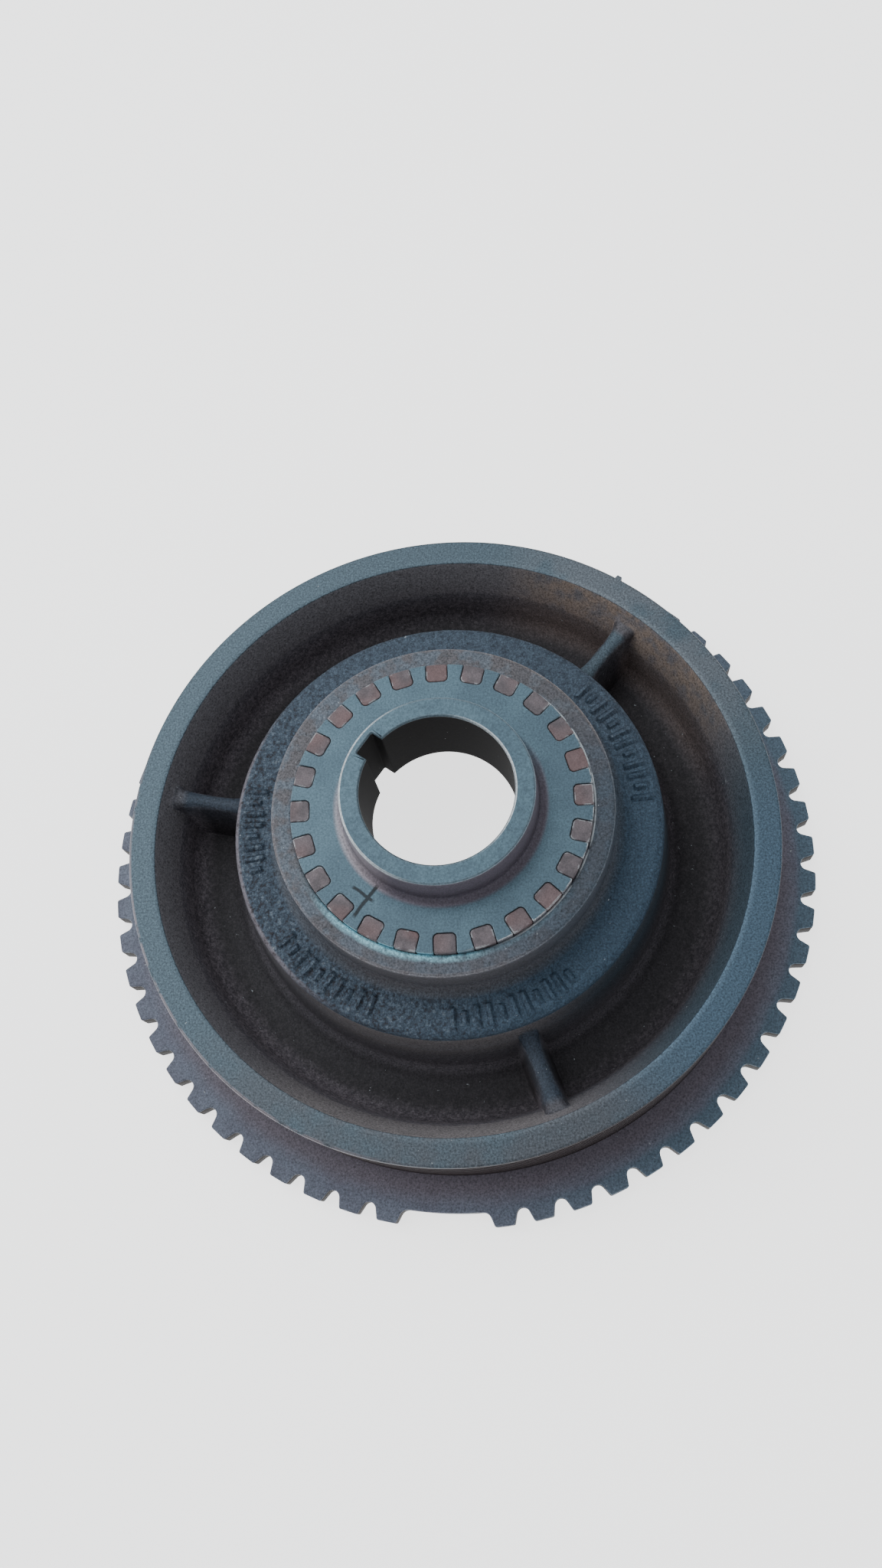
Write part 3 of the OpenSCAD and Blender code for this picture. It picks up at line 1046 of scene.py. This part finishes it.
    # The shoulder is pitted at the left, where its pits get painted shade and its tips painted
    # highlights.
    s.bump(s.noise(1.0, 4, 6, 0.6), 0.07, cast)
    coarse = s.product(cast, s.band(radius, 36.5, 44.0, 0.6), s.side(205, -0.1, 0.8))
    s.bump(s.noise(1.0, 3, 9, 0.6), 0.4, coarse)
    colour = s.over(colour, WELL_DARK, coarse, s.step(sand, 0.48, 0.38), 0.75)
    colour = s.over(colour, BRIGHT, coarse, s.step(sand, 0.55, 0.65), 0.14)
    s.bump(grain, 0.02)
    roughness = s.linear(cast, 0.12, 0.46)
    roughness = s.linear(grime_and_shade, 0.14, roughness)
    metallic = s.linear(grime_and_shade, -0.3, 0.45)
    # The belt grooves are matt and nearly black, from belt dust and painted shade, except along the
    # rim's edge at the left.
    grooves = s.product(s.step(radius, 62.5, 63.5), s.step(z, RIM_Z - 0.04, RIM_Z - 0.25))
    grooves = s.product(grooves, s.linear(s.product(wear, s.side(200, 0.0, 0.6)), -1, 1))
    colour = s.over(colour, BELT_DUST_SHADE, grooves, 0.85)
    # A painted highlight runs along the thin chamfer that rings the disc, at the right.
    seam_highlight = s.product(s.band(radius, 29.9, 30.35, 0.08), s.step(z, 40.0, 41.0))
    seam_highlight = s.product(seam_highlight, s.step(patch, 0.34, 0.5), 0.9)
    colour = s.over(colour, BRIGHT, seam_highlight, s.side(350, 0.35, 0.75))
    metallic = s.product(metallic, s.linear(grooves, -1, 1))
    return s.finish(colour, roughness, metallic, s.linear(grooves, -0.45, 0.5))


def hub_material():
    """Turned steel with painted highlights on its edges, a scribed cross on the disc and a bore
    painted dark as shade.
    """
    s = Shader("hub_steel")
    x, y, z, radius = s.position()
    wear = s.field("wear")
    cloud = s.noise(8, 4, 11)
    grain = s.noise(0.5, 3, 12, 0.7)
    patch = s.noise(2.4, 4, 13)
    dust = s.noise(0.8, 2, 14)
    colour = s.mix(s.step(cloud, 0.4, 0.62), HUB_DARK, HUB)
    # The nose's side and fillet get painted shade towards the lower right and a painted highlight
    # towards the left.
    nose = s.product(s.step(radius, 18.2, 18.6), s.step(radius, 21.6, 20.6))
    nose = s.product(nose, s.step(z, NOSE_Z - 0.1, NOSE_Z - 0.4))
    colour = s.over(colour, NOSE_SHADE, nose, s.side(300, -0.25, 0.45))
    colour = s.over(colour, PINK_HIGHLIGHT, nose, s.side(200, 0.72, 0.98), 0.6)
    # The edges catch the light: the nose's at the left, the bore's and the disc's at the right.
    outer_edge = s.product(s.band(radius, 18.0, 20.0, 0.3), s.side(180, 0.2, 0.9))
    inner_edge = s.product(s.step(radius, 16.5, 15.9), s.side(12, 0.3, 0.9))
    rim_edge = s.product(s.step(radius, 29.2, 29.6), s.step(patch, 0.4, 0.56))
    rim_edge = s.product(rim_edge, s.side(340, 0.3, 0.75))
    lit = s.math("ADD", s.math("ADD", outer_edge, inner_edge), rim_edge)
    colour = s.over(colour, BRIGHT, wear, s.linear(lit, 0.75, 0.08))
    # The disc's wall, which stands over the collar, gets a painted highlight all round its near
    # side, with a painted cyan reflection near the bottom.
    disc_wall = s.product(s.step(radius, 29.3, 29.7), s.step(z, DISC_Z - 0.02, DISC_Z - 0.12))
    colour = s.over(colour, PINK_HIGHLIGHT, disc_wall, s.side(285, 0.0, 0.6), 0.5)
    colour = s.over(colour, CYAN_GLINT, disc_wall, s.side(250, 0.8, 1.0), 0.7)
    # The bore's wall is painted near black below its edge as shade.
    bore = s.product(s.step(radius, 18.2, 17.8), s.step(z, NOSE_Z - 0.3, NOSE_Z - 0.6))
    colour = s.over(colour, BORE, bore)
    # Two scribed lines cross on the disc: one along the radius, one across it.
    cross_x, cross_y = CROSS
    a = math.atan2(cross_y, cross_x)
    dx = s.math("SUBTRACT", x, cross_x)
    dy = s.math("SUBTRACT", y, cross_y)
    along = s.math("ADD", s.product(dx, math.cos(a)), s.product(dy, math.sin(a)))
    across = s.math("SUBTRACT", s.product(dy, math.cos(a)), s.product(dx, math.sin(a)))
    wobble = s.product(s.math("SUBTRACT", patch, 0.5), 0.7)
    radial = s.step(s.math("ABSOLUTE", s.math("ADD", across, wobble)), 0.52, 0.22)
    radial = s.product(radial, s.step(s.math("ABSOLUTE", s.math("SUBTRACT", along, 0.8)), 4.2, 3.2))
    crossing = s.step(s.math("ABSOLUTE", s.math("ADD", along, wobble)), 0.46, 0.18)
    crossing = s.product(crossing, s.step(s.math("ABSOLUTE", s.math("ADD", across, 1.3)), 3.0, 2.0))
    line = s.product(s.math("MAXIMUM", radial, crossing), s.step(z, 43.5, 43.9))
    colour = s.over(colour, BORE, line, 0.85)
    colour = s.speckle(colour, 0.4, 15, 1.7)
    colour = s.over(colour, BORE, s.step(grain, 0.35, 0.28), 0.4)
    colour = s.over(colour, BRIGHT, s.step(dust, 0.73, 0.8), 0.6)
    s.bump(patch, 0.02)
    s.bump(grain, 0.01)
    roughness = s.linear(bore, 0.35, 0.44)
    return s.finish(colour, roughness, s.linear(bore, -0.5, 0.5), s.linear(bore, -0.4, 0.5))


def block_material():
    """Sintered iron, pinkish brown, redder in places, with a few worn edges."""
    s = Shader("sintered_iron")
    z, radius = s.position()[2:]
    cloud = s.noise(2.2, 4, 21)
    grain = s.noise(0.4, 3, 22, 0.7)
    colour = s.mix(s.step(cloud, 0.36, 0.64), BLOCK_DARK, BLOCK)
    colour = s.over(colour, BLOCK_RED, s.step(s.noise(14, 2, 23), 0.45, 0.6), 0.6)
    colour = s.over(colour, BRIGHT, s.field("wear"), s.step(cloud, 0.52, 0.62), 0.5)
    # The wall below the edges gets painted shade, which draws the line around the block.
    gap = s.step(z, DISC_Z - 0.25, DISC_Z - 0.5)
    gap = s.product(gap, s.step(radius, DISC_R - 0.1, DISC_R - 0.25))
    colour = s.over(colour, BORE, gap, 0.55)
    colour = s.speckle(colour, 0.3, 24, 1.3)
    s.bump(grain, 0.03)
    s.bump(cloud, 0.06)
    return s.finish(colour, 0.55, 0.2)


def ring_material():
    """Blued steel with fine speckle, brown near the rim from rust and painted shade, and dark on
    its cut edges, partly as painted shade; painted light makes it lighter at the lower right and a
    painted reflection bluer at the right.
    """
    s = Shader("ring_steel")
    z, radius = s.position()[2:]
    cloud = s.noise(9, 4, 31)
    patch = s.noise(2.6, 4, 32)
    grain = s.noise(0.5, 3, 33, 0.7)
    dust = s.noise(0.8, 2, 34)
    colour = s.mix(s.step(cloud, 0.36, 0.66), RING_DARK, RING)
    # Next to the rim the ring is browner, from rust and painted shade.
    near_rim = s.step(s.linear(cloud, 3.0, radius), 76.5, 71.5)
    colour = s.over(colour, RING_BROWN, near_rim, 0.85)
    # Painted light makes the ring lighter towards the lower right.
    colour = s.shade(colour, s.linear(s.side(310, 0.2, 0.95), 0.32, 1.05))
    # A painted reflection makes the ring's outer part bluer at the right.
    outer = s.step(s.linear(cloud, 2.0, radius), 74.5, 76.5)
    colour = s.over(colour, RING_BLUE, outer, s.side(340, 0.2, 0.9), 0.8)
    sides = s.band(z, RING_Z + 0.02, RING_TOP_Z - 0.2, 0.02)
    colour = s.speckle(colour, 0.4, 35, 2.2)
    colour = s.over(colour, WELL_DARK, s.step(grain, 0.36, 0.28), 0.45)
    colour = s.over(colour, BRIGHT, s.step(dust, 0.71, 0.78), 0.6)
    # The teeth's cut sides are dark, partly as painted shade.
    colour = s.over(colour, RING_EDGE, sides)
    worn = s.product(s.field("wear"), s.step(patch, 0.52, 0.64))
    colour = s.over(colour, BRIGHT, worn, s.step(z, RING_TOP_Z - 0.5, RING_TOP_Z - 0.2), 0.15)
    s.bump(patch, 0.05)
    s.bump(grain, 0.02)
    return s.finish(colour, 0.52, s.linear(sides, -0.4, 0.4), s.linear(sides, -0.45, 0.5))


def floor_material():
    """A plain pale floor, with a glow that keeps the object's shadow faint."""
    s = Shader("floor_pale")
    s.surface.inputs["Emission Color"].default_value = (1.0, 1.0, 1.0, 1.0)
    s.surface.inputs["Emission Strength"].default_value = FLOOR_GLOW
    return s.finish((0.9, 0.9, 0.9, 1.0), 0.7, 0.0)


# ---- the scene ----
# Places are in metres and turns in degrees.

FLOOR_HALF = 3
FLOOR_DROP = 0.0002
FLOOR_GLOW = 1.9
LIT_POINT = (0, 0, 0.03)
WORLD_COLOUR = (0.93, 0.96, 1.0, 1.0)
WORLD_STRENGTH = 0.43
CAMERA_PLACE = (0.02107, -0.08342, 0.2809)
CAMERA_TURN = (20.007, 5.633, -1.665)
CAMERA_LENS = 29.55
CAMERA_CLIP = 0.01


def dress(obj, material, slot, *nodes):
    """Gives a piece its material, fixes it to the body and lets it stand for its CAD nodes."""
    obj.data.materials.append(material)
    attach(obj, "root")
    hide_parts(*nodes)


dress(build_casting(), casting_material(), "cast_iron", "pulley_casting")
dress(build_hub(), hub_material(), "hub_steel", "hub")
dress(build_sensor_ring(), ring_material(), "ring_steel", "sensor_ring")
sintered = block_material()
for number in range(1, BLOCKS + 1):
    sink = BLOCK_SINK + BLOCK_SINK_SPREAD * math.sin(BLOCK_SINK_STEP * number)
    dress(build_block(number, sink), sintered, "sintered_iron", f"lock_block_{number:02d}")

floor_mesh = bpy.data.meshes.new("floor")
corners = [(x * FLOOR_HALF, y * FLOOR_HALF, 0) for x, y in ((-1, -1), (1, -1), (1, 1), (-1, 1))]
floor_mesh.from_pydata(corners, [], [(0, 1, 2, 3)])
floor_mesh.materials.append(floor_material())
floor = linked("floor", floor_mesh)
floor.location.z = -FLOOR_DROP
floor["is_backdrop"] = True


def area_light(name, place, size, power, colour):
    """A square soft light that faces the pulley."""
    lamp = bpy.data.lights.new(name, "AREA")
    lamp.size = size
    lamp.energy = power
    lamp.color = colour
    obj = linked(name, lamp)
    obj.location = place
    obj.rotation_euler = (Vector(LIT_POINT) - Vector(place)).to_track_quat("-Z", "Y").to_euler()


area_light("overhead", place=(-0.3, 0.3, 0.76), size=0.7, power=3.75, colour=(0.93, 0.98, 1.0))
area_light("left_window", place=(-0.7, 0.02, 0.3), size=0.25, power=0.8, colour=(1.0, 0.93, 0.92))

world = bpy.data.worlds.new("studio")
world.use_nodes = True
background = world.node_tree.nodes["Background"]
background.inputs["Color"].default_value = WORLD_COLOUR
background.inputs["Strength"].default_value = WORLD_STRENGTH
bpy.context.scene.world = world

camera_data = bpy.data.cameras.new("camera")
camera_data.lens = CAMERA_LENS
camera_data.clip_start = CAMERA_CLIP
camera = linked("camera", camera_data)
camera.location = CAMERA_PLACE
camera.rotation_euler = Euler([math.radians(turn) for turn in CAMERA_TURN], "XYZ")
bpy.context.scene.camera = camera

bounds_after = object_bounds()


def plain(value):
    if isinstance(value, dict):
        return {str(k): plain(v) for k, v in value.items()}
    if isinstance(value, (list, tuple, Vector)):
        return [plain(v) for v in value]
    return round(float(value), 6)


{"before": plain(bounds_before), "after": plain(bounds_after)}
